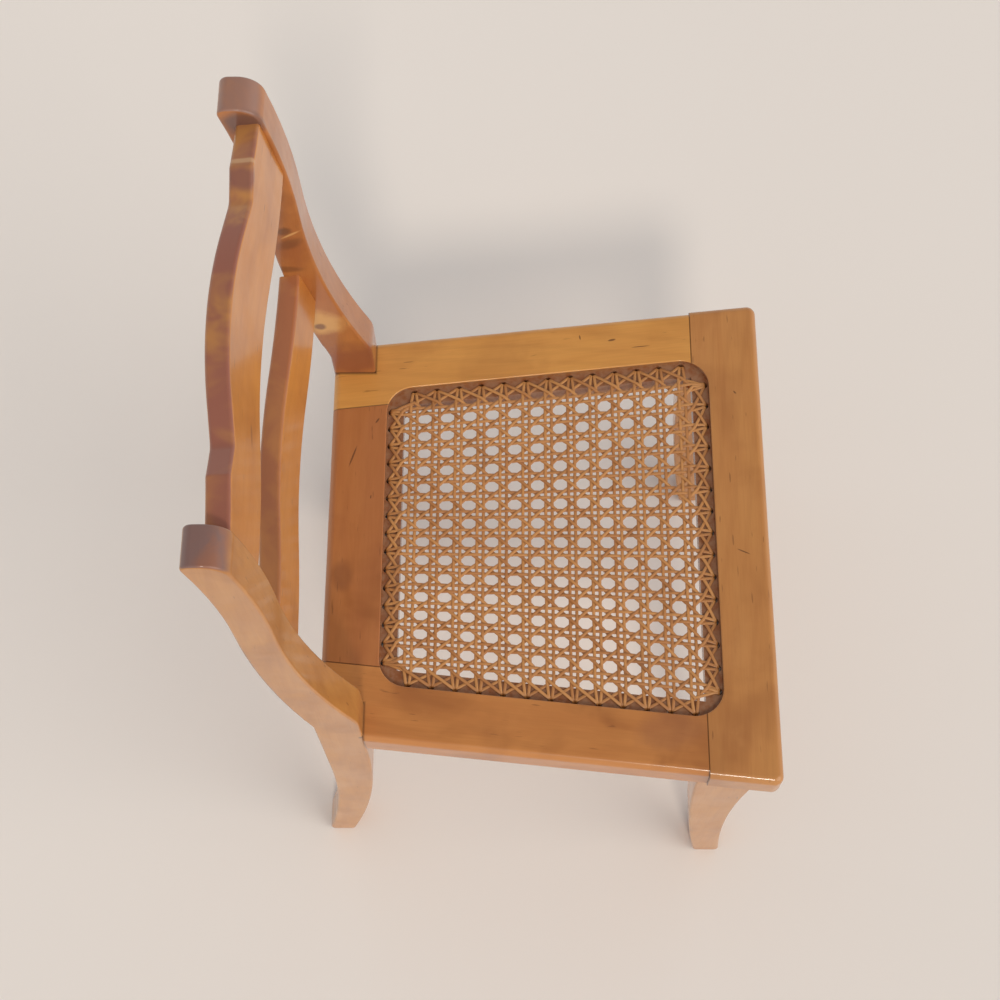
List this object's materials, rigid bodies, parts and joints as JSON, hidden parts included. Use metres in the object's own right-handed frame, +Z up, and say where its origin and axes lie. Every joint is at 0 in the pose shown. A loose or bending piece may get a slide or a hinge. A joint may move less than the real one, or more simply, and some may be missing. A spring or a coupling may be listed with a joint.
{
  "type": "child chair",
  "caption": "Small child's side chair with sawn curved posts, bowed crest and stay rails, curved front legs and a flat seat frame laced with an open octagonal cane weave.",
  "frame": {"origin": "on the floor, under the middle of the chair's bounding box", "axes": "+Z up, -Y the front of the chair, -X the sitter's right"},
  "size_m": [0.3082, 0.2934, 0.513],
  "materials": {
    "post_wood": "gloss varnish, worn",
    "back_wood": "gloss varnish, worn",
    "seat_wood": "gloss varnish, worn",
    "dowel_wood": "bare, glued",
    "cane": "satin, varnished"
  },
  "bodies": {
    "root": {"left_stile": "post_wood", "right_stile": "post_wood", "front_left_leg": "post_wood", "front_right_leg": "post_wood", "crest_rail": "back_wood", "stay_rail": "back_wood", "front_seat_rail": "seat_wood", "rear_seat_rail": "seat_wood", "left_seat_rail": "seat_wood", "right_seat_rail": "seat_wood", "cane_seat": "cane", "front_left_dowels": "dowel_wood", "front_right_dowels": "dowel_wood", "rear_left_dowels": "dowel_wood", "rear_right_dowels": "dowel_wood", "left_leg_dowels": "dowel_wood", "right_leg_dowels": "dowel_wood", "left_stile_dowels": "dowel_wood", "right_stile_dowels": "dowel_wood"}
  },
  "joints": []
}
